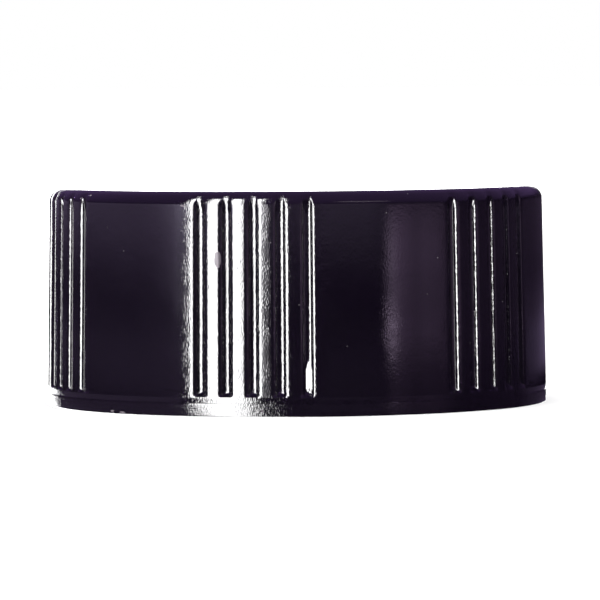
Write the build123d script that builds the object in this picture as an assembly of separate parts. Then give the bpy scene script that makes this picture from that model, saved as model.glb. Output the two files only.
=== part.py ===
from build123d import *
from math import acos, cos, degrees, radians, sin, tan
import os

# Screw cap for a 22 mm bottle neck, in millimetres.
# The cap stands on its open rim: the origin is the middle of that rim, +Z runs up the cap's axis.

# Room inside, which the neck sets
bore_diameter = 22.2          # clear of the neck's own thread
inner_depth = 9.6             # from the rim to the underside of the top
inner_corner_chamfer = 0.25   # where the bore meets the top
mouth_chamfer = 0.35          # lead-in at the rim

# Walls
wall_thickness = 1.5          # at the thickest place, beside the foot band
top_thickness = 1.3
wall_draft = 1.0              # degrees, so that the cap leaves its mould
shoulder_radius = 0.55        # where the side turns over to the flat top

# Foot band, below the mould's parting line
band_height = 0.64
band_taper = 0.02             # how much the band draws in towards the rim
foot_chamfer = 0.07
parting_height = 0.26         # height of the shallow groove left by the parting line
parting_depth = 0.02

# Grip: groups of upright flutes with plain panels between them
group_count = 6
flutes_per_group = 5
flute_spacing = 6.13          # degrees from flute to flute
flute_depth = 0.26
flute_floor_radius = 0.34
flute_lip_radius = 0.15
flute_foot_slope = 45.0       # degrees from level, where a flute's floor comes out to the wall
flute_head_slope = 65.0       # the same at its head, where the floor comes out more slowly
flute_foot_gap = 0.06         # between the parting groove and the flutes' feet
flute_head_gap = 0.55         # between the flutes' heads and the flat top
first_group_angle = 30.0      # degrees from +X, so one group faces -Y

# Thread inside: one full turn, with a run-out at each end
thread_pitch = 3.175
thread_turns = 1.0
thread_height = 1.0           # how far the ridge stands in from the bore
thread_root_width = 1.9
thread_crest_width = 0.7
thread_rim_gap = 1.0          # between the rim and the ridge's lowest point
thread_start_angle = 200.0    # degrees from +X

# Sealing liner, a disc pressed up against the underside of the top
liner_thickness = 1.0
liner_clearance = 0.05        # between the liner's edge and the bevelled inner corner

# Allowances for the cuts
lip_overlap = 0.005           # a flute's lip just passes the wall's surface
root_overlap = 0.3            # the ridge's root reaches into the wall
crest_stock = 0.15            # left on the ridge's crest and faced off
cut_margin = 0.5              # how far a cutting tool passes the surface

bore_radius = bore_diameter / 2
outer_radius = bore_radius + wall_thickness
cap_height = inner_depth + top_thickness
crest_radius = bore_radius - thread_height
liner_radius = bore_radius - inner_corner_chamfer - liner_clearance
parting_top = band_height + parting_height
flute_foot = parting_top + flute_foot_gap
flute_head = cap_height - flute_head_gap


def wall_radius(z):
    """Radius of the drafted side at a height above the foot band."""
    return outer_radius - (z - band_height) * tan(radians(wall_draft))


def shell_section():
    """Half section of the shell, drawn from the rim round the outside and back down the bore."""
    lean = radians(wall_draft)
    side_z = cap_height - shoulder_radius
    tangent_z = side_z + shoulder_radius * sin(lean)
    side_x = wall_radius(tangent_z) - shoulder_radius * cos(lean)
    over = (lean + radians(90)) / 2
    tangent = (wall_radius(tangent_z), tangent_z)
    halfway = (side_x + shoulder_radius * cos(over), side_z + shoulder_radius * sin(over))
    foot_outer = outer_radius - band_taper
    groove = (outer_radius - parting_depth, band_height + parting_height / 2)
    corner = inner_corner_chamfer
    with BuildLine() as outline:
        Line((bore_radius + mouth_chamfer, 0), (foot_outer - foot_chamfer, 0))
        Line((foot_outer - foot_chamfer, 0), (foot_outer, foot_chamfer))
        Line((foot_outer, foot_chamfer), (outer_radius, band_height))
        Line((outer_radius, band_height), groove)
        Line(groove, (wall_radius(parting_top), parting_top))
        Line((wall_radius(parting_top), parting_top), tangent)
        ThreePointArc(tangent, halfway, (side_x, cap_height))
        Line((side_x, cap_height), (0, cap_height))
        Line((0, cap_height), (0, inner_depth))
        Line((0, inner_depth), (bore_radius - corner, inner_depth))
        Line((bore_radius - corner, inner_depth), (bore_radius, inner_depth - corner))
        Line((bore_radius, inner_depth - corner), (bore_radius, mouth_chamfer))
        Line((bore_radius, mouth_chamfer), (bore_radius + mouth_chamfer, 0))
    return make_face(Plane.XZ * outline.line)


def flute_cutter():
    """The tool for the flute at +X: a round floor between two round lips, leaning with the draft."""
    wall = wall_radius(flute_foot)
    floor_centre = wall - flute_depth + flute_floor_radius
    lip_centre = wall - flute_lip_radius + lip_overlap
    reach = flute_floor_radius + flute_lip_radius
    lip_angle = acos((lip_centre**2 + floor_centre**2 - reach**2) / (2 * lip_centre * floor_centre))
    lip_x = lip_centre * cos(lip_angle)
    lip_y = lip_centre * sin(lip_angle)
    share = flute_floor_radius / reach
    join = (floor_centre + (lip_x - floor_centre) * share, lip_y * share)
    lip_top = (
        (lip_centre + flute_lip_radius) * cos(lip_angle),
        (lip_centre + flute_lip_radius) * sin(lip_angle),
    )
    to_join = Vector(join[0] - lip_x, join[1] - lip_y).normalized()
    to_top = Vector(cos(lip_angle), sin(lip_angle))
    to_middle = (to_join + to_top).normalized() * flute_lip_radius
    lip_middle = (lip_x + to_middle.X, lip_y + to_middle.Y)
    outside = (wall + cut_margin, lip_top[1])

    def mirrored(point):
        return (point[0], -point[1])

    with BuildLine() as outline:
        ThreePointArc(join, (floor_centre - flute_floor_radius, 0), mirrored(join))
        ThreePointArc(mirrored(join), mirrored(lip_middle), mirrored(lip_top))
        Line(mirrored(lip_top), mirrored(outside))
        Line(mirrored(outside), outside)
        Line(outside, lip_top)
        ThreePointArc(lip_top, lip_middle, join)
    tool = extrude(make_face(outline.line), amount=cap_height - flute_foot)
    tool = Pos(wall, 0, flute_foot) * Rot(0, -wall_draft, 0) * Pos(-wall, 0, 0) * tool
    size = 4 * cut_margin
    below = Box(size, size, size, align=(Align.CENTER, Align.CENTER, Align.MAX))
    above = Box(size, size, size, align=(Align.CENTER, Align.CENTER, Align.MIN))
    tool -= Pos(wall, 0, flute_foot) * Rot(0, flute_foot_slope, 0) * below
    tool -= Pos(wall_radius(flute_head), 0, flute_head) * Rot(0, -flute_head_slope, 0) * above
    return tool


def grip_tools():
    """Every flute's tool, turned to its place in its group."""
    tool = flute_cutter()
    middle = (flutes_per_group - 1) / 2
    tools = []
    for group in range(group_count):
        group_angle = first_group_angle + group * 360 / group_count
        for flute in range(flutes_per_group):
            tools.append(Rot(0, 0, group_angle + (flute - middle) * flute_spacing) * tool)
    return tools


def run_out_angle():
    """A straight cut that touches the ridge's crest leaves the bore this many degrees further on."""
    return degrees(acos(crest_radius / bore_radius))


def thread_ridge():
    """The thread's ridge, swept up the bore, faced to the crest and sloped off at both ends."""
    run_out = run_out_angle()
    turns = thread_turns + 2 * run_out / 360
    rise = turns * thread_pitch
    flank = (thread_root_width - thread_crest_width) / 2 / thread_height
    root_half = thread_root_width / 2 + flank * root_overlap
    crest_half = thread_crest_width / 2 - flank * crest_stock
    crest_depth = thread_height + crest_stock
    path = Helix(pitch=thread_pitch, height=rise, radius=bore_radius)
    with BuildSketch(Plane(origin=path @ 0, x_dir=(1, 0, 0), z_dir=path % 0)) as section:
        with BuildLine():
            Polyline(
                (root_overlap, root_half),
                (-crest_depth, crest_half),
                (-crest_depth, -crest_half),
                (root_overlap, -root_half),
                close=True,
            )
        make_face()
    ridge = sweep(section.sketch, path=path, is_frenet=True)
    ridge -= Pos(0, 0, rise / 2) * Cylinder(crest_radius, rise + 2 * thread_root_width)
    size = bore_radius + cut_margin
    slab = Box(size, size, thread_pitch - cut_margin)
    ridge -= Rot(0, 0, run_out) * Pos(crest_radius - size / 2, -size / 2, 0) * slab
    ridge -= Rot(0, 0, turns * 360 - run_out) * Pos(crest_radius - size / 2, size / 2, rise) * slab
    return Pos(0, 0, thread_rim_gap + thread_root_width / 2) * Rot(0, 0, thread_start_angle) * ridge


def cap_shell():
    """The moulded shell: turned form, thread and grip in one piece."""
    shell = revolve(shell_section(), Axis.Z)
    shell = shell + thread_ridge()
    shell = shell - grip_tools()
    return shell


def sealing_liner():
    """The disc that seals on the neck's lip."""
    disc = Cylinder(liner_radius, liner_thickness, align=(Align.CENTER, Align.CENTER, Align.MAX))
    return Pos(0, 0, inner_depth) * disc


os.makedirs("parts", exist_ok=True)
for name, piece in {"cap_shell": cap_shell(), "sealing_liner": sealing_liner()}.items():
    export_step(piece, "parts/" + name + ".step")
    print(name, round(piece.volume, 2), "mm3")
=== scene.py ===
import math
import bpy
import numpy as np
from mathutils import Matrix, Vector


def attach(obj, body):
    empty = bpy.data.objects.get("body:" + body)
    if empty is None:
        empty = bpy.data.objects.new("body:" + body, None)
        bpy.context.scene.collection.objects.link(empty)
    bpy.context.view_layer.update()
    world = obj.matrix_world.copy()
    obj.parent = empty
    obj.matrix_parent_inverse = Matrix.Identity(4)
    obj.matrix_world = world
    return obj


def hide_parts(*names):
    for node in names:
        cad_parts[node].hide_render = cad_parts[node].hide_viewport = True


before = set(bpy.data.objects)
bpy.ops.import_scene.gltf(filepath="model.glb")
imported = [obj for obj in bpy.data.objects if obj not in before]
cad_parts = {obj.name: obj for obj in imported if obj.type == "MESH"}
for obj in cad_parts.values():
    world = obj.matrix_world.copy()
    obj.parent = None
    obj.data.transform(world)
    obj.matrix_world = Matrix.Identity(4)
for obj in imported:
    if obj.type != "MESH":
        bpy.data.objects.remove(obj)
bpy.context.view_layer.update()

mm = 0.001
fullTurn = 2.0 * math.pi
perRadian = 180.0 / math.pi    # degrees
hair = 1e-6                    # mm, keeps a rounding from having no width
sharpAngle = 35.0              # degrees, past which an edge stays sharp
white = (1.0, 1.0, 1.0, 1.0)

# The moulded shell, in millimetres and degrees. The measures are the solid's, but the foot is rounded where
# the solid has a bevel, and two notes give the solid's own value. Rows are how many steps each stretch of
# a profile has
shell = {
    "boreRadius": 11.1,
    "wall": 1.5,
    "innerDepth": 9.6,
    "topThickness": 1.3,
    "cornerBevel": 0.25,
    "mouthBevel": 0.35,
    "draft": 1.0,
    "footRound": 0.07,
    "bandHeight": 0.64,
    "bandTaper": 0.02,
    "partingHeight": 0.26,
    "partingDepth": 0.035,     # the solid has 0.02
    "partingStep": 0.06,       # share of the groove's height in which it steps in
    "partingShares": [0.03, 0.06, 0.20, 0.36, 0.52, 0.68, 0.84, 1.0],
    "shoulderRadius": 0.66,    # the solid has 0.55
    "rows": {"rim": 5, "band": 2, "foot": 11, "fault": 9, "wall": 4, "head": 9, "shoulder": 20},
    "boreRows": {"corner": 2, "plain": 5, "mouth": 3},
    "innerRing": (3.0, 36),    # radius and columns, under the top
    "innerEdge": 0.05,         # of the flat underside, beside the bevel
    "topRings": [(10.4, 240), (8.0, 96), (3.0, 24)],
}

# The grip: groups of upright flutes. Each half of a flute is drawn by arcs that follow one another from
# level up to the steepest slope, and each arc has its slope at the end and its radius
grip = {
    "groups": 6,
    "flutes": 5,
    "spacing": 6.13,           # degrees from flute to flute
    "firstGroup": 30.0,        # degrees from +X
    "depth": 0.26,
    "steepest": 68.0,          # degrees, the slope of a flute's walls
    "left": {"floor": [(24.0, 0.42), (68.0, 0.03)], "lip": [(30.0, 0.28), (47.0, 0.38), (68.0, 0.04)]},
    "right": {"floor": [(21.0, 0.38), (68.0, 0.04)], "lip": [(22.0, 0.42), (48.0, 0.09), (68.0, 0.30)]},
    "footGap": 0.06,
    "footSlope": 1.4,          # depth gained for each mm up from a flute's foot
    "footRound": 0.10,
    "footStretch": 0.5,        # mm up from the foot in which rows are close
    "headStart": 9.80,         # between these two heights a flute grows shallow
    "headEnd": 10.52,
    "headPower": 2.0,
    "headScale": 0.30,         # share of the depth that runs over the shoulder
    "headBlend": 0.20,         # widest rounding where a flute meets the shoulder
    "blendRate": 1.5,          # how fast that rounding widens with the shoulder's drop
    "waveDepth": 0.035,
    "waveFade": 0.30,          # mm below the top in which the wave dies away
    "arcSteps": 3,
    "landSteps": 3,
    "edgeSteps": 2,
    "panelSteps": 10,
}

# A moulding fault: near its foot, the right half of one flute is filled to a plain slope
fault = {
    "turn": 282.26,            # degrees from +X, the flute's middle
    "halfWidth": 0.44,
    "slope": 24.0,
    "blend": 0.015,
    "bottom": (1.12, 1.30),    # heights between which the fill comes in
    "top": (2.35, 2.85),       # and goes out
}

# The thread inside
thread = {
    "pitch": 3.175,
    "turns": 1.0,
    "height": 1.0,
    "rootWidth": 1.9,
    "crestWidth": 0.7,
    "rimGap": 1.0,
    "start": 200.0,
    "crestRound": 0.10,
    "rootRound": 0.16,
    "spareTurns": 0.2,         # past the thread's end, where rows are still close
    "columns": 270,
    "rowStep": 0.10,
}

# The sealing liner
liner = {
    "radius": 10.8,
    "thickness": 1.0,
    "edgeRound": 0.08,
    "edgeRows": 4,
    "sideRows": 3,
    "columns": 180,
    "poleRing": (0.8, 18),     # radius and columns
    "topRing": (3.0, 24),
    "flatStart": 2.0,
    "flatRows": 26,
    "waviness": 0.006,
    "waveFade": 1.0,           # mm in from the edge
}


# The foot band's radius: the bore's and the wall
def outerRadius():
    return shell["boreRadius"] + shell["wall"]


# The whole height: the depth inside and the top
def capHeight():
    return shell["innerDepth"] + shell["topThickness"]


# Radius of the drafted side: the outer radius less the height above the band times the draft's slope
def wallRadius(z):
    return outerRadius() - (z - shell["bandHeight"]) * math.tan(math.radians(shell["draft"]))


# Smooth lesser of two values: their minimum, rounded over a width k by a parabola
def softMin(a, b, k):
    h = np.clip(0.5 + 0.5 * (b - a) / k, 0.0, 1.0)
    return b + (a - b) * h - k * h * (1.0 - h)


# Smooth greater of two values: the smooth lesser of both turned negative, turned back
def softMax(a, b, k):
    return -softMin(-a, -b, k)


# Share of the way from one value to another, level past both
def shareOf(value, low, high):
    return np.clip((value - low) / (high - low), 0.0, 1.0)


# Points of an arc: its centre and its radius times the cosine and sine of even angles, in degrees
def arcPoints(cx, cz, radius, first, last, count, keepFirst=True):
    angle = np.radians(np.linspace(first, last, count + 1))
    if not keepFirst:
        angle = angle[1:]
    return np.stack([cx + radius * np.cos(angle), cz + radius * np.sin(angle)], axis=1)


# Points of a line: even shares of both ends
def linePoints(a, b, count, keepFirst=False):
    share = np.linspace(0.0, 1.0, count + 1)
    if not keepFirst:
        share = share[1:]
    return np.outer(1.0 - share, a) + np.outer(share, b)


# Angles of even columns round the axis
def evenColumns(count):
    return np.arange(count) * fullTurn / count


# Outer profile from the flat rim round the foot, up the band and the side, and over the shoulder. The
# parting groove steps straight in above the band and slopes back out to the side
def outerProfile():
    foot = shell["footRound"]
    footOuter = outerRadius() - shell["bandTaper"]
    band = shell["bandHeight"]
    parting = band + shell["partingHeight"]
    lean = math.radians(shell["draft"])
    turn = shell["shoulderRadius"]
    rows = shell["rows"]
    sideZ = capHeight() - turn
    tangentZ = sideZ + turn * math.sin(lean)
    sideX = wallRadius(tangentZ) - turn * math.cos(lean)
    share = np.array(shell["partingShares"])
    step = shell["partingStep"]
    dip = shell["partingDepth"] * np.clip(share / step, 0.0, 1.0) * (1.0 - share) / (1.0 - step)
    grooveR = outerRadius() + (wallRadius(parting) - outerRadius()) * share - dip
    pieces = [
        arcPoints(footOuter - foot, foot, foot, -90.0, 0.0, rows["rim"]),
        linePoints((footOuter, foot), (outerRadius(), band), rows["band"]),
        np.stack([grooveR, band + shell["partingHeight"] * share], axis=1),
    ]
    footTop = parting + grip["footGap"] + grip["footStretch"]
    stops = [parting, footTop, fault["top"][1], grip["headStart"], tangentZ]
    for low, high, part in zip(stops[:-1], stops[1:], ("foot", "fault", "wall", "head")):
        pieces.append(linePoints((wallRadius(low), low), (wallRadius(high), high), rows[part]))
    pieces.append(arcPoints(sideX, sideZ, turn, shell["draft"], 90.0, rows["shoulder"], False))
    return np.concatenate(pieces)


# Run and rise along arcs that follow one another: each adds its radius times the difference of the
# slopes' sines to the run, and of their cosines to the rise
def climb(arcs):
    run = [0.0]
    rise = [0.0]
    slope = 0.0
    for last, radius in arcs:
        turn = np.radians(np.linspace(slope, last, grip["arcSteps"] + 1))
        run.extend(run[-1] + radius * (np.sin(turn[1:]) - math.sin(turn[0])))
        rise.extend(rise[-1] + radius * (math.cos(turn[0]) - np.cos(turn[1:])))
        slope = last
    return np.array(run), np.array(rise)


# Half a flute across, as depth against distance from its middle: floor, straight wall and lip
def fluteSide(side):
    floorRun, floorRise = climb(side["floor"])
    lipRun, lipRise = climb(side["lip"])
    wallRise = grip["depth"] - floorRise[-1] - lipRise[-1]
    half = floorRun[-1] + wallRise / math.tan(math.radians(grip["steepest"])) + lipRun[-1]
    across = np.concatenate([floorRun, half - lipRun[::-1]])
    return across, np.concatenate([grip["depth"] - floorRise, lipRise[::-1]])


# A flute across, from its left lip to its right one
def fluteSection():
    leftAcross, leftDepth = fluteSide(grip["left"])
    rightAcross, rightDepth = fluteSide(grip["right"])
    across = np.concatenate([-leftAcross[::-1], rightAcross[1:]])
    return across, np.concatenate([leftDepth[::-1], rightDepth[1:]])


# Columns round the side: azimuth, flute depth and wave share of each. They are close on the flutes and few
# on the panels, and the wave is a cosine as wide as the spacing, highest at each flute's middle
def gripColumns():
    across, depth = fluteSection()
    turn = np.degrees(across / outerRadius())
    left, right = -turn[0], turn[-1]
    spacing = grip["spacing"]
    groupTurn = 360.0 / grip["groups"]
    middle = (grip["flutes"] - 1) / 2
    land = np.linspace(right, spacing - left, grip["landSteps"] + 1)[1:-1]
    before = np.linspace(left, spacing / 2, grip["edgeSteps"] + 1)[1:]
    after = np.linspace(right, spacing / 2, grip["edgeSteps"] + 1)[1:]
    angles = []
    depths = []
    for group in range(grip["groups"]):
        centre = grip["firstGroup"] + group * groupTurn
        first = centre - middle * spacing
        last = centre + middle * spacing
        flutes = [first + flute * spacing for flute in range(grip["flutes"])]
        panel = np.linspace(last + spacing / 2, first + groupTurn - spacing / 2, grip["panelSteps"] + 1)
        plain = np.concatenate([start + land for start in flutes[:-1]]
                               + [first - before, last + after, panel[1:-1]])
        angles.extend([start + turn for start in flutes] + [plain])
        depths.extend([depth] * grip["flutes"] + [np.zeros(len(plain))])
    angles = np.concatenate(angles)
    depths = np.concatenate(depths)
    inGroup = (angles - grip["firstGroup"] + groupTurn / 2) % groupTurn - groupTurn / 2
    nearest = np.clip(np.round(inGroup / spacing), -middle, middle)
    offset = np.clip(np.abs(inGroup / spacing - nearest), 0.0, 0.5)
    wave = 0.5 + 0.5 * np.cos(fullTurn * offset)
    order = np.argsort(angles % 360.0)
    return np.radians(angles[order] % 360.0), depths[order], wave[order]


# The fault's flute: no deeper than a plane that rises from the right lip, between two heights
def fillFault(cut, angle, z):
    across = (angle - math.radians(fault["turn"])) * outerRadius()
    plane = math.tan(math.radians(fault["slope"])) * np.clip(fault["halfWidth"] - across, 0.0, None)
    filled = np.where(np.abs(across) < fault["halfWidth"], softMin(cut, plane, fault["blend"]), cut)
    low = shareOf(z, *fault["bottom"])
    high = 1.0 - shareOf(z, *fault["top"])
    return cut + (filled - cut) * low * high


# Outer skin: at each height the side falls in by the shoulder's drop or by the flute's depth, whichever is
# more, with a rounding between them. A flute's depth comes up a ramp at its foot. Towards its head it falls
# to a share of itself and gains a slight wave, and so it runs on over the shoulder
def outerSkin():
    profile = outerProfile()
    angle, fluteDepth, wave = gripColumns()
    r = profile[:, :1]
    z = profile[:, 1:]
    drop = wallRadius(z) - r
    foot = shell["bandHeight"] + shell["partingHeight"] + grip["footGap"]
    ramp = np.clip(z - foot, 0.0, None) * grip["footSlope"]
    cut = softMin(fluteDepth[None, :], ramp, grip["footRound"])
    cut = np.where((fluteDepth[None, :] > 0.0) & (z > foot), np.clip(cut, 0.0, None), 0.0)
    cut = fillFault(cut, angle[None, :], z)
    share = shareOf(z, grip["headStart"], grip["headEnd"]) ** grip["headPower"]
    cut = cut * (1.0 - (1.0 - grip["headScale"]) * share)
    fade = np.clip((capHeight() - z) / grip["waveFade"], 0.0, 1.0)
    ripple = grip["waveDepth"] * fade * share * wave[None, :]
    blend = np.clip(grip["blendRate"] * drop, hair, grip["headBlend"])
    inset = softMax(drop, cut, blend) + ripple
    radius = wallRadius(z) - np.where(z > foot, inset, drop)
    return angle, radius, np.broadcast_to(z, radius.shape)


# Inner skin: down from under the top, past the thread, to the bevelled mouth, as the bore's radius less
# the ridge's height
def innerSkin():
    bore = shell["boreRadius"]
    depth = shell["innerDepth"]
    corner = shell["cornerBevel"]
    mouth = shell["mouthBevel"]
    rows = shell["boreRows"]
    laps = thread["turns"] + thread["spareTurns"]
    ridgeTop = thread["rimGap"] + thread["rootWidth"] + laps * thread["pitch"]
    fine = int((ridgeTop - mouth) / thread["rowStep"])
    profile = np.concatenate([
        linePoints((bore - corner - shell["innerEdge"], depth), (bore - corner, depth), 1, True),
        linePoints((bore - corner, depth), (bore, depth - corner), rows["corner"]),
        linePoints((bore, depth - corner), (bore, ridgeTop), rows["plain"]),
        linePoints((bore, ridgeTop), (bore, mouth), fine),
        linePoints((bore, mouth), (bore + mouth, 0.0), rows["mouth"]),
    ])
    angle = evenColumns(thread["columns"])
    z = profile[:, 1:]
    radius = profile[:, :1] - ridgeHeight(angle[None, :], z)
    return angle, radius, np.broadcast_to(z, radius.shape)


# Height of the thread's ridge: a trapezoid about a helix, which a straight cut slopes off at both ends.
# Each height of the bore meets the helix on one of two laps
def ridgeHeight(angle, z):
    bore = shell["boreRadius"]
    crest = bore - thread["height"]
    runOut = math.acos(crest / bore)
    whole = thread["turns"] * fullTurn + 2.0 * runOut
    flank = (thread["rootWidth"] - thread["crestWidth"]) / 2.0 / thread["height"]
    first = thread["rimGap"] + thread["rootWidth"] / 2.0
    total = np.zeros(np.broadcast(angle, z).shape)
    for lap in (0, 1):
        along = (angle - math.radians(thread["start"])) % fullTurn + lap * fullTurn
        inside = np.clip(runOut - along, 0.0, None) + np.clip(along - (whole - runOut), 0.0, None)
        limit = np.clip(bore - crest / np.cos(np.clip(inside, 0.0, runOut)), 0.0, None)
        limit = np.where(along > whole, 0.0, limit)
        centre = first + thread["pitch"] * along / fullTurn
        side = (thread["rootWidth"] / 2.0 - np.abs(z - centre)) / flank
        k = np.minimum(thread["crestRound"], 0.5 * limit + hair)
        ridge = softMax(softMin(side, limit, k), -0.5 * thread["rootRound"], thread["rootRound"])
        total = np.maximum(total, np.clip(ridge, 0.0, None))
    return total


# Triangles between two closed rings of different counts, taken in order of their edges' middles
def stitchRings(firstIds, firstAngle, nextIds, nextAngle):
    def middles(angle):
        following = np.append(angle[1:], angle[0] + fullTurn)
        return (angle + following) / 2.0

    a = middles(firstAngle)
    b = middles(nextAngle)
    throughB = np.searchsorted(b, a) % len(nextIds)
    throughA = np.searchsorted(a, b) % len(firstIds)
    lower = np.stack([firstIds, np.roll(firstIds, -1), nextIds[throughB]], axis=1)
    upper = np.stack([firstIds[throughA], np.roll(nextIds, -1), nextIds], axis=1)
    return np.concatenate([lower, upper])


# Quads of a grid of rings that closes on itself round the axis
def ringQuads(first, rows, columns):
    ids = first + np.arange(rows * columns).reshape(rows, columns)
    right = np.roll(ids, -1, axis=1)
    return np.stack([ids[:-1], right[:-1], right[1:], ids[1:]], axis=-1).reshape(-1, 4)


def addObject(name, data):
    made = bpy.data.objects.new(name, data)
    bpy.context.scene.collection.objects.link(made)
    return made


# Collects skins turned about the axis, in the order of one path from pole to pole
class TurnedMesh:
    def __init__(self):
        self.points = []
        self.triangles = []
        self.quads = []
        self.count = 0
        self.lastRing = None

    # A skin's points: radius times the angle's cosine and sine, and height
    def addSkin(self, angle, radius, height):
        skin = np.stack([radius * np.cos(angle), radius * np.sin(angle), height], axis=-1)
        rows, columns = radius.shape
        ids = self.count + np.arange(rows * columns).reshape(rows, columns)
        self.points.append(skin.reshape(-1, 3))
        self.count += ids.size
        if self.lastRing is not None:
            self.triangles.append(stitchRings(self.lastRing[0], self.lastRing[1], ids[0], angle))
        self.quads.append(ringQuads(ids[0, 0], rows, columns))
        self.lastRing = (ids[-1], angle)

    def addRing(self, radius, columns, height):
        shape = (1, columns)
        self.addSkin(evenColumns(columns), np.full(shape, radius), np.full(shape, height))

    def addPole(self, height):
        self.points.append(np.array([[0.0, 0.0, height]]))
        self.count += 1
        return self.count - 1

    # The first pole, and the flat ring that closes it
    def startAtPole(self, radius, columns, height):
        pole = self.addPole(height)
        self.addRing(radius, columns, height)
        ring = self.lastRing[0]
        self.triangles.append(np.stack([np.full(len(ring), pole), np.roll(ring, -1), ring], axis=1))

    def endAtPole(self, height):
        ring = self.lastRing[0]
        pole = self.addPole(height)
        self.triangles.append(np.stack([ring, np.roll(ring, -1), np.full(len(ring), pole)], axis=1))

    def build(self, name):
        points = np.concatenate(self.points) * mm
        quads = np.concatenate(self.quads)
        triangles = np.concatenate(self.triangles)
        corners = np.concatenate([quads.ravel(), triangles.ravel()]).astype(np.int32)
        starts = np.concatenate([
            np.arange(len(quads)) * 4,
            len(quads) * 4 + np.arange(len(triangles)) * 3,
        ]).astype(np.int32)
        mesh = bpy.data.meshes.new(name)
        mesh.vertices.add(len(points))
        mesh.vertices.foreach_set("co", points.astype(np.float32).ravel())
        mesh.loops.add(len(corners))
        mesh.loops.foreach_set("vertex_index", corners)
        mesh.polygons.add(len(starts))
        mesh.polygons.foreach_set("loop_start", starts)
        mesh.update(calc_edges=True)
        mesh.validate()
        mesh.polygons.foreach_set("use_smooth", np.ones(len(mesh.polygons), bool))
        mesh.set_sharp_from_angle(angle=math.radians(sharpAngle))
        return addObject(name, mesh)


# The shell: from under the top down the bore, round the rim, up the outside and over the top
def makeShell():
    body = TurnedMesh()
    body.startAtPole(*shell["innerRing"], shell["innerDepth"])
    body.addSkin(*innerSkin())
    body.addSkin(*outerSkin())
    for radius, columns in shell["topRings"]:
        body.addRing(radius, columns, capHeight())
    body.endAtPole(capHeight())
    return body.build("moulded_shell")


# The liner: a disc with rounded edges. Its lower face is faintly uneven, as pressed foam is: a sine of the
# radius times a cosine of three times the angle, each shifted by the other, fading towards the edge
def makeLiner():
    radius = liner["radius"]
    top = shell["innerDepth"]
    bottom = top - liner["thickness"]
    edge = liner["edgeRound"]
    angle = evenColumns(liner["columns"])
    flat = np.linspace(liner["flatStart"], radius - edge, liner["flatRows"])
    profile = np.concatenate([
        np.stack([flat, np.full(len(flat), bottom)], axis=1),
        arcPoints(radius - edge, bottom + edge, edge, -90.0, 0.0, liner["edgeRows"], False),
        linePoints((radius, bottom + edge), (radius, top - edge), liner["sideRows"]),
        arcPoints(radius - edge, top - edge, edge, 0.0, 90.0, liner["edgeRows"], False),
    ])
    r = np.broadcast_to(profile[:, :1], (len(profile), len(angle)))
    z = np.broadcast_to(profile[:, 1:], r.shape).copy()
    wave = np.sin(r * 1.7 + 2.0 * np.cos(angle * 2.0 + 0.6)) * np.cos(angle * 3.0 + r * 0.35)
    fade = np.clip((radius - edge - r) / liner["waveFade"], 0.0, 1.0)
    z[:len(flat)] += (liner["waviness"] * (1.0 + wave) * fade)[:len(flat)]
    disc = TurnedMesh()
    disc.startAtPole(*liner["poleRing"], bottom + liner["waviness"])
    disc.addSkin(angle, r, z)
    disc.addRing(*liner["topRing"], top)
    disc.endAtPole(top)
    return disc.build("foam_liner")


# Small helpers for shader nodes
class NodeMaker:
    def __init__(self, tree):
        self.tree = tree
        tree.nodes.clear()

    def add(self, kind, settings=None, **inputs):
        node = self.tree.nodes.new(kind)
        for name, value in (settings or {}).items():
            setattr(node, name, value)
        for name, value in inputs.items():
            self.feed(node.inputs[name.replace("_", " ")], value)
        return node

    def feed(self, socket, value):
        if isinstance(value, bpy.types.NodeSocket):
            self.tree.links.new(value, socket)
        else:
            socket.default_value = value

    # A node whose sockets have the same names, filled in their order
    def join(self, kind, values, settings=None):
        node = self.add(kind, settings)
        for socket, value in zip(node.inputs, values):
            self.feed(socket, value)
        return node.outputs[0]

    def math(self, operation, *values):
        return self.join("ShaderNodeMath", values, {"operation": operation})

    # A value carried from one span to another, smooth between and level past the ends
    def span(self, value, low, high, toLow=0.0, toHigh=1.0):
        node = self.add("ShaderNodeMapRange", {"interpolation_type": "SMOOTHSTEP"}, Value=value,
                        From_Min=low, From_Max=high, To_Min=toLow, To_Max=toHigh)
        return node.outputs["Result"]

    # 1 between the middle two of four edges, smooth from the outer ones
    def window(self, value, edges):
        return self.math("MULTIPLY", self.span(value, *edges[:2]), self.span(value, *edges[2:], 1.0, 0.0))

    # A value read off a line drawn through stops, level past the ends
    def curve(self, value, stops):
        first, last = stops[0][0], stops[-1][0]
        most = max(height for _, height in stops)
        along = self.add("ShaderNodeMapRange", Value=value, From_Min=first, From_Max=last).outputs["Result"]
        ramp = self.add("ShaderNodeValToRGB", Fac=along)
        points = ramp.color_ramp.elements
        while len(points) < len(stops):
            points.new(0.5)
        for point, (place, height) in zip(points, stops):
            point.position = (place - first) / (last - first)
            grey = height / most
            point.color = (grey, grey, grey, 1.0)
        return self.math("MULTIPLY", ramp.outputs["Color"], most)

    # Noise whose size is in the vector's own unit
    def noise(self, vector, size, detail=2.0, roughness=0.5):
        node = self.add("ShaderNodeTexNoise", Vector=vector, Scale=1.0 / size, Detail=detail,
                        Roughness=roughness)
        return node.outputs["Fac"]

    # Colour a carried towards colour b by a share, and past b where the share is above 1
    def blend(self, share, a, b):
        node = self.add("ShaderNodeMix", {"data_type": "RGBA", "clamp_factor": False})
        self.feed(node.inputs[0], share)
        self.feed(node.inputs[6], a)
        self.feed(node.inputs[7], b)
        return node.outputs[2]

    # Bumps that stand one on another, each a height from 0 to 1 and its depth in mm
    def bumps(self, layers):
        normal = None
        for height, depth in layers:
            node = self.add("ShaderNodeBump", Height=height, Distance=depth * mm, Strength=1.0)
            if normal is not None:
                self.feed(node.inputs["Normal"], normal)
            normal = node.outputs[0]
        return normal


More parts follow.
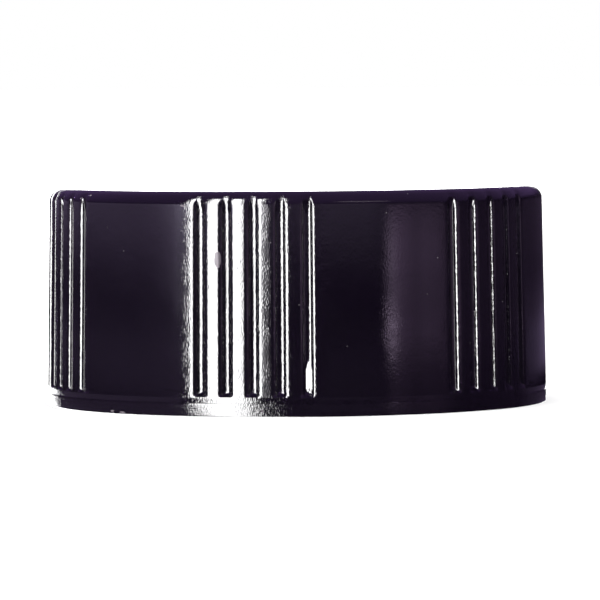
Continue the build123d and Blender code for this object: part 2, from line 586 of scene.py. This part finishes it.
def newMaterial(name):
    material = bpy.data.materials.new(name)
    material.use_nodes = True
    return material, NodeMaker(material.node_tree)


# Sizes in mm, and spans as a pair of values between which something comes in
shellFinish = {
    "colour": (0.0030, 0.0018, 0.0048, 1.0),
    "ior": 1.58,
    "roughness": 0.07,
    "roughnessSpread": 0.05,
    "cloudSize": 2.4,
    "cloudSpan": (0.35, 0.70),
    "peelSize": 0.55,
    "peelHeight": 0.00045,
    "grainSize": 0.065,        # across, and drawn out upwards
    "grainStretch": 2.2,
    "grainHeight": 0.009,
    "patchSize": 0.9,          # patches in which the grain is weaker
    "patchSpan": (0.35, 0.60),
    "patchGrain": 0.5,
    "groupSpan": (15.0, 18.0),    # degrees from a group's middle, where the worn grain ends
    "panelGrain": 0.35,        # share of the grain between the groups
    "streakSize": 0.05,        # up, and drawn out round the foot band
    "streakStretch": 9.0,
    "streakHeight": 0.010,
    "streakSpan": (0.55, 0.66),   # heights over which the streaks end
    "dustColour": (0.10, 0.095, 0.10, 1.0),
    "dustSize": 0.45,
    "dustPick": (0.88, 0.97),
    "dustReach": (0.04, 0.10),
    # the marks' lighter colour, for the real scuffs and also for the painted highlight line on the shoulder
    "scuffAndHighlightColour": (0.055, 0.045, 0.055, 1.0),
    "scuffAndHighlightRoughness": 0.45,
    "scuffAndHighlightSpan": (1.1, 1.7),
    "raggedSize": 0.12,
}

# Marks on the side: turn from +X in degrees, height, half width and half height in mm, and strength. Most are
# scuffs, specks and chips; the thin line along the shoulder is a painted highlight
marks = {
    "smudge": (261.95, 7.62, 0.17, 0.42, 1.0),
    "dash": (253.52, 10.22, 0.13, 0.05, 1.5),
    "rimChip": (233.65, 0.13, 0.12, 0.06, 1.8),
    "rimNick": (236.9, 0.09, 0.20, 0.05, 1.5),
    "bandSpeck": (271.94, 0.31, 0.05, 0.07, 2.0),
    "shoulderSpeck": (224.4, 10.66, 0.08, 0.05, 1.5),
    "cornerSpeck": (220.9, 10.50, 0.10, 0.05, 1.0),
    # painted highlight: a thin light line where the shoulder meets the top, lighter in colour and rougher
    "paintedShoulderHighlight": (295.0, 10.385, 1.50, 0.026, 0.5),
}


# Streaks that run round the foot band, laid out in mm round and up
def bandStreaks(make, turn, height):
    f = shellFinish
    along = make.math("MULTIPLY", turn, outerRadius() / perRadian / f["streakStretch"])
    flat = make.add("ShaderNodeCombineXYZ", X=along, Y=height).outputs[0]
    streak = make.noise(flat, f["streakSize"])
    return make.math("MULTIPLY", streak, make.span(height, *f["streakSpan"], 1.0, 0.0))


# Grain drawn out upwards, in patches, and stronger within the groups, where fingers wear the gloss
def wornGrain(make, place, turn):
    f = shellFinish
    upright = make.join("ShaderNodeVectorMath", [place, (1.0, 1.0, 1.0 / f["grainStretch"])],
                        {"operation": "MULTIPLY"})
    grain = make.noise(upright, f["grainSize"] * mm, 1.0)
    patchy = make.noise(place, f["patchSize"] * mm)
    grain = make.math("MULTIPLY", grain, make.span(patchy, *f["patchSpan"], f["patchGrain"], 1.0))
    fromGroup = make.math("MODULO", turn, 360.0 / grip["groups"])
    fromGroup = make.math("ABSOLUTE", make.math("SUBTRACT", fromGroup, grip["firstGroup"]))
    return make.math("MULTIPLY", grain, make.span(fromGroup, *f["groupSpan"], 1.0, f["panelGrain"]))


# Dust: the few cells whose own random number is high enough, and only near each cell's point
def dustSpecks(make, place):
    f = shellFinish
    cells = make.add("ShaderNodeTexVoronoi", {"feature": "F1"}, Vector=place,
                     Scale=1.0 / (f["dustSize"] * mm))
    pick = make.add("ShaderNodeSeparateColor", Color=cells.outputs["Color"]).outputs[0]
    near = make.span(cells.outputs["Distance"], *f["dustReach"], 1.0, 0.0)
    return make.math("MULTIPLY", make.span(pick, *f["dustPick"]), near)


# Scuffs and a painted highlight: the marks added up, each an ellipse whose edge a noise makes ragged
def scuffsAndHighlight(make, place, turn, height):
    f = shellFinish
    ragged = make.noise(place, f["raggedSize"] * mm, 2.0, 0.6)
    total = 0.0
    for markTurn, markHeight, halfWidth, halfHeight, strength in marks.values():
        aside = make.math("SUBTRACT", turn, markTurn)
        aside = make.math("MULTIPLY", aside, math.radians(outerRadius()) / halfWidth)
        above = make.math("SUBTRACT", height, markHeight)
        above = make.math("MULTIPLY", above, 1.0 / halfHeight)
        reach = make.math("ADD", make.math("MULTIPLY", aside, aside), make.math("MULTIPLY", above, above))
        reach = make.math("ADD", reach, ragged)
        total = make.math("ADD", make.span(reach, *f["scuffAndHighlightSpan"], strength, 0.0), total)
    return total


def shellPlastic():
    material, make = newMaterial("glossy_black_plastic")
    f = shellFinish
    place = make.add("ShaderNodeTexCoord").outputs["Object"]
    x, y, z = make.add("ShaderNodeSeparateXYZ", Vector=place).outputs
    height = make.math("MULTIPLY", z, 1.0 / mm)
    turn = make.math("MULTIPLY", make.math("ARCTAN2", y, x), perRadian)
    turn = make.math("MODULO", make.math("ADD", turn, 360.0), 360.0)
    scuffAndHighlight = scuffsAndHighlight(make, place, turn, height)
    dusty = make.blend(dustSpecks(make, place), f["colour"], f["dustColour"])
    # the marks lighten the colour: real scuffs, specks and chips, and one painted highlight line on the
    # shoulder
    colour = make.blend(scuffAndHighlight, dusty, f["scuffAndHighlightColour"])
    cloud = make.noise(place, f["cloudSize"] * mm, 3.0, 0.6)
    rough = make.span(cloud, *f["cloudSpan"], f["roughness"], f["roughness"] + f["roughnessSpread"])
    rough = make.math("ADD", rough, make.math("MULTIPLY", scuffAndHighlight, f["scuffAndHighlightRoughness"]))
    normal = make.bumps([
        (make.noise(place, f["peelSize"] * mm, 1.0), f["peelHeight"]),
        (wornGrain(make, place, turn), f["grainHeight"]),
        (bandStreaks(make, turn, height), f["streakHeight"]),
    ])
    surface = make.add("ShaderNodeBsdfPrincipled", Base_Color=colour, Roughness=rough, IOR=f["ior"],
                       Normal=normal)
    make.add("ShaderNodeOutputMaterial", Surface=surface.outputs[0])
    return material


# Sizes in mm
linerFinish = {
    "light": (0.84, 0.83, 0.79, 1.0),
    "dark": (0.70, 0.69, 0.64, 1.0),
    "cloudSize": 1.8,
    "cloudSpan": (0.30, 0.75),
    "cellSize": 0.16,
    "cellHeight": 0.010,
    "cellStrength": 0.8,
    "roughness": 0.62,
    "ior": 1.46,
}


def linerFoam():
    material, make = newMaterial("pressed_white_foam")
    f = linerFinish
    place = make.add("ShaderNodeTexCoord").outputs["Object"]
    cells = make.add("ShaderNodeTexVoronoi", {"feature": "SMOOTH_F1"}, Vector=place,
                     Scale=1.0 / (f["cellSize"] * mm))
    cloud = make.noise(place, f["cloudSize"] * mm, 3.0, 0.6)
    colour = make.blend(make.span(cloud, *f["cloudSpan"]), f["light"], f["dark"])
    bump = make.add("ShaderNodeBump", Height=cells.outputs["Distance"], Distance=f["cellHeight"] * mm,
                    Strength=f["cellStrength"])
    surface = make.add("ShaderNodeBsdfPrincipled", Base_Color=colour, Roughness=f["roughness"],
                       IOR=f["ior"], Normal=bump.outputs[0])
    make.add("ShaderNodeOutputMaterial", Surface=surface.outputs[0])
    return material


# Camera: far off and a little above, as the photograph's perspective asks
view = {
    "azimuth": 9.7,            # degrees towards +X from -Y
    "distance": 280.0,         # mm from the cap's axis
    "eyeHeight": 17.23,
    "lens": 332.9,
    "sensor": 36.0,
    "roll": 0.43,
    "frame": 600,              # pixels across
    "axisPixel": 296.4,
    "aimHeight": 5.45,         # mm, the point beside which the frame's middle lies
    "aimPixel": 293.54,
}


def makeCamera():
    a = math.radians(view["azimuth"])
    spot = Vector((view["distance"] * math.sin(a), -view["distance"] * math.cos(a), view["eyeHeight"])) * mm
    focal = view["frame"] * view["lens"] / view["sensor"]
    data = bpy.data.cameras.new("camera")
    data.lens = view["lens"]
    data.sensor_width = view["sensor"]
    data.clip_start = 0.01
    data.clip_end = 20.0
    camera = addObject("camera", data)
    aim = Vector((0.0, 0.0, view["aimHeight"] * mm))
    turn = (aim - spot).to_track_quat("-Z", "Y").to_matrix()
    # turned by small angles so that the aim falls on its pixel, then rolled
    right = (view["axisPixel"] - view["frame"] / 2) / focal
    down = (view["aimPixel"] - view["frame"] / 2) / focal
    turn = turn @ Matrix.Rotation(right, 3, "Y") @ Matrix.Rotation(down, 3, "X")
    turn = turn @ Matrix.Rotation(-math.radians(view["roll"]), 3, "Z")
    camera.matrix_world = Matrix.Translation(spot) @ turn.to_4x4()
    bpy.context.scene.camera = camera


sweep = {
    "half": 3.0,               # metres
    "colour": (0.92, 0.92, 0.92, 1.0),
}


# The floor: one pale sheet, clear from underneath and not mirrored by the gloss
def makeFloor():
    half = sweep["half"]
    corners = [(-half, -half, 0.0), (half, -half, 0.0), (half, half, 0.0), (-half, half, 0.0)]
    mesh = bpy.data.meshes.new("floor")
    mesh.from_pydata(corners, [], [(0, 1, 2, 3)])
    floor = addObject("floor", mesh)
    material, make = newMaterial("white_sweep")
    pale = make.add("ShaderNodeBsdfDiffuse", Color=sweep["colour"]).outputs[0]
    clear = make.add("ShaderNodeBsdfTransparent").outputs[0]
    back = make.add("ShaderNodeNewGeometry").outputs["Backfacing"]
    mix = make.join("ShaderNodeMixShader", [back, pale, clear])
    make.add("ShaderNodeOutputMaterial", Surface=mix)
    mesh.materials.append(material)
    floor.visible_glossy = False


# A see-through tube round the cap, which carries the cards
tubeSize = {"radius": 60.0, "low": -14.0, "high": 16.0, "columns": 96}

# Dim things near the cap, on that tube: turn from the camera (degrees, positive to its right), then height
# (mm), each a line of stops, and the tint
cards = {
    "leftWall": {
        "turn": [(-135, 0.3), (-98, 0.6), (-80, 0.9), (-63, 1.0), (-52, 1.1), (-44, 0.4), (-38, 0.0)],
        "height": [(-7, 0.16), (-4, 0.15), (-3, 0.02), (-1.5, 0.02), (0, 0.12), (2, 0.12), (4, 0.07),
                   (5.5, 0.08), (7.5, 0.20), (9, 0.27), (11, 0.30)],
        "tint": (1.0, 0.75, 1.32, 1.0),
    },
    "leftGlow": {
        "turn": [(-70, 0.0), (-62, 0.05), (-57.5, 0.15), (-54, 0.26), (-51.5, 0.45), (-48.6, 1.4),
                 (-46, 1.4), (-44, 0.0)],
        "height": [(0, 0.03), (1.3, 0.04), (2.2, 0.07), (4.5, 0.17), (5.7, 0.32), (7.7, 0.42), (8.6, 0.62),
                   (9.8, 1.1), (10.6, 1.6)],
        "tint": (1.0, 0.93, 1.22, 1.0),
    },
    "softboxEnd": {
        "turn": [(-22, 0.0), (-19.5, 8.0), (-15.6, 8.0), (-14.6, 3.0), (-11.5, 2.0), (-9.5, 0.0)],
        "height": [(-3, 0.0), (-1, 0.6), (2, 0.6), (6, 0.6), (8.6, 1.0), (10.5, 1.5)],
        "tint": (1.0, 0.98, 1.02, 1.0),
    },
    "middle": {
        "turn": [(-10, 0.5), (12, 1.0), (30, 0.9), (36, 0.6), (40, 0.0)],
        "height": [(-7, 0.13), (-4, 0.11), (-3, 0.0), (-1.6, 0.0), (-0.6, 0.05), (2.3, 0.05), (3.4, 0.0),
                   (5.6, 0.0), (6.8, 0.04), (7.7, 0.09), (8.6, 0.19), (9.8, 0.27), (11, 0.33)],
        "tint": (1.0, 0.80, 1.25, 1.0),
    },
    "rightStreak": {
        "turn": [(36.0, 0.0), (38.2, 0.7), (39.6, 1.0), (41.2, 0.6), (43.2, 0.0)],
        "height": [(1.0, 0.04), (2.2, 0.2), (2.9, 2.2), (3.4, 5.2), (3.9, 2.0), (4.5, 0.7), (5.7, 0.2),
                   (7.0, 0.8), (7.8, 1.2), (8.8, 0.6), (9.8, 0.25), (10.4, 0.0)],
        "tint": (1.0, 0.78, 1.1, 1.0),
    },
    "farRight": {
        "turn": [(112, 0.0), (128, 0.6), (150, 1.0), (165, 0.6)],
        "height": [(-7, 0.08), (-4, 0.08), (-3, 0.0), (-1.6, 0.0), (-0.6, 0.13), (1.5, 0.13), (3.0, 0.04),
                   (5, 0.012), (11, 0.012)],
        "tint": (1.0, 0.75, 1.35, 1.0),
    },
    "rightPlateau": {
        "turn": [(37, 0.0), (41, 0.9), (44, 1.0), (49, 0.65), (52, 0.6), (55, 0.75), (60, 0.65), (64, 0.5),
                 (68, 0.2), (72, 0.08), (110, 0.08), (130, 0.04), (150, 0.04)],
        "height": [(-7, 0.20), (-4, 0.16), (-3, 0.0), (-1.6, 0.0), (-0.6, 0.10), (1.0, 0.14), (2.2, 0.35),
                   (3.2, 0.60), (4.5, 0.42), (5.7, 0.48), (7.0, 0.65), (8.6, 0.72), (9.8, 0.70),
                   (10.3, 0.40), (11, 0.15)],
        "tint": (1.0, 0.68, 1.15, 1.0),
    },
}


# A place's or direction's turn from the camera in degrees, positive to its right, and its part upwards
def fromCamera(make, source):
    vector = make.add("ShaderNodeTexCoord").outputs[source]
    turned = make.add("ShaderNodeVectorRotate", {"rotation_type": "Z_AXIS"}, Vector=vector,
                      Angle=-math.radians(view["azimuth"])).outputs[0]
    aside, away, up = make.add("ShaderNodeSeparateXYZ", Vector=turned).outputs
    nearer = make.math("MULTIPLY", away, -1.0)
    return make.math("MULTIPLY", make.math("ARCTAN2", aside, nearer), perRadian), up


# The tube: its radius times the angle's cosine and sine, at two heights, with its faces turned inwards
def makeCards():
    count = tubeSize["columns"]
    angle = evenColumns(count)
    ring = np.stack([np.cos(angle), np.sin(angle)], axis=1) * tubeSize["radius"] * mm
    heights = [tubeSize["low"] * mm, tubeSize["high"] * mm]
    points = np.concatenate([np.column_stack([ring, np.full(count, z)]) for z in heights])
    here = np.arange(count)
    beyond = (here + 1) % count
    faces = np.stack([beyond, here, here + count, beyond + count], axis=1)
    mesh = bpy.data.meshes.new("dim_cards")
    mesh.from_pydata(points.tolist(), [], faces.tolist())
    tube = addObject("dim_cards", mesh)
    material, make = newMaterial("dim_cards")
    turn, up = fromCamera(make, "Object")
    height = make.math("MULTIPLY", up, 1.0 / mm)
    shader = make.add("ShaderNodeBsdfTransparent").outputs[0]
    for card in cards.values():
        level = make.math("MULTIPLY", make.curve(turn, card["turn"]), make.curve(height, card["height"]))
        lit = make.add("ShaderNodeEmission", Color=card["tint"], Strength=level).outputs[0]
        shader = make.join("ShaderNodeAddShader", [shader, lit])
    make.add("ShaderNodeOutputMaterial", Surface=shader)
    material.cycles.emission_sampling = "NONE"
    mesh.materials.append(material)
    tube.visible_camera = False
    tube.visible_diffuse = False
    tube.visible_shadow = False


# What the gloss mirrors, by compass angle from the camera (positive to its right) and by tilt, in degrees
studio = {
    "floorLight": 1.75,
    "overhead": (0.26, 0.15, 0.42, 1.0),
    "overheadTilt": [(-90, 0.15), (-20, 0.05), (-5, 0.03), (4, 0.03), (14, 0.55), (40, 0.8), (90, 1.0)],
    "softboxLevel": 26.0,
    "softboxSides": (-49.0, -47.8, -25.0, -19.0),
    "softboxTilt": (-75.0, -60.0, 50.0, 54.0),
    "softboxLean": 5.0,        # how far its left edge moves in towards its foot
    "leanTilt": (-6.5, -3.0),
    # the white room behind the cap, which the left silhouette mirrors, and its table lower down
    "backLevel": 6.0,
    "backSides": (-165.0, -160.0),
    "backTilt": (4.0, 9.0),
    "tableLevel": 6.0,
    "tableSides": (-151.0, -147.0),
    "tableTilt": (-4.0, -3.2),
    # the same room past the seam at 180 degrees
    "pastSides": (172.0, 175.0),
    "pastTilt": (-14.0, -11.0),
    "backdropLevel": 1.6,
    "backdropSides": (168.0, 172.0),
    "backdropTilt": (0.0, 0.6, 7.0, 10.0),
}


def makeWorld():
    world = bpy.data.worlds.new("studio")
    bpy.context.scene.world = world
    world.use_nodes = True
    world.cycles.sampling_method = "NONE"
    make = NodeMaker(world.node_tree)
    s = studio
    compass, up = fromCamera(make, "Generated")
    tilt = make.math("MULTIPLY", make.math("ARCSINE", up), perRadian)
    # the softbox, whose left edge leans
    lean = make.span(tilt, *s["leanTilt"], s["softboxLean"], 0.0)
    leaning = make.math("SUBTRACT", compass, lean)
    sides = make.math("MULTIPLY", make.span(leaning, *s["softboxSides"][:2]),
                      make.span(compass, *s["softboxSides"][2:], 1.0, 0.0))
    box = make.math("MULTIPLY", sides, make.window(tilt, s["softboxTilt"]))
    # the white room behind the cap, on both sides of the seam, and the table
    back = make.math("MULTIPLY", make.span(compass, *s["backSides"], 1.0, 0.0), s["backLevel"])
    past = make.math("MULTIPLY", make.span(compass, *s["pastSides"]), s["backLevel"])
    back = make.math("ADD", back, make.math("MULTIPLY", past, make.span(tilt, *s["pastTilt"])))
    back = make.math("MULTIPLY", back, make.span(tilt, *s["backTilt"], 1.0, 0.0))
    table = make.math("MULTIPLY", make.span(compass, *s["tableSides"], 1.0, 0.0),
                      make.span(tilt, *s["tableTilt"], s["tableLevel"], 0.0))
    back = make.math("ADD", back, table)
    # the backdrop, the same to either side
    around = make.math("ABSOLUTE", compass)
    drop = make.math("MULTIPLY", make.window(tilt, s["backdropTilt"]), make.span(around, *s["backdropSides"]))
    back = make.math("ADD", back, make.math("MULTIPLY", drop, s["backdropLevel"]))
    glow = make.math("ADD", make.math("MULTIPLY", box, s["softboxLevel"]), back)
    level = make.curve(tilt, s["overheadTilt"])
    ambient = make.add("ShaderNodeBackground", Color=s["overhead"], Strength=level).outputs[0]
    lamps = make.add("ShaderNodeBackground", Color=white, Strength=glow).outputs[0]
    mirrored = make.join("ShaderNodeAddShader", [ambient, lamps])
    even = make.add("ShaderNodeBackground", Color=white, Strength=s["floorLight"]).outputs[0]
    seen = make.add("ShaderNodeBackground", Color=white, Strength=1.0).outputs[0]
    # even light on matte things, plain white behind, and the studio in the gloss
    ray = make.add("ShaderNodeLightPath").outputs
    byDiffuse = make.join("ShaderNodeMixShader", [ray["Is Diffuse Ray"], mirrored, even])
    byCamera = make.join("ShaderNodeMixShader", [ray["Is Camera Ray"], byDiffuse, seen])
    make.add("ShaderNodeOutputWorld", Surface=byCamera)


bpy.context.scene.view_settings.view_transform = "Standard"
makeCamera()
makeWorld()
makeFloor()
makeCards()
print("camera, floor and studio made")

shellPiece = makeShell()
shellPiece.data.materials.append(shellPlastic())
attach(shellPiece, "root")
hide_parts("cap_shell")
print("shell made:", len(shellPiece.data.polygons), "faces")

linerPiece = makeLiner()
linerPiece.data.materials.append(linerFoam())
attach(linerPiece, "root")
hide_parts("sealing_liner")
print("liner made:", len(linerPiece.data.polygons), "faces")
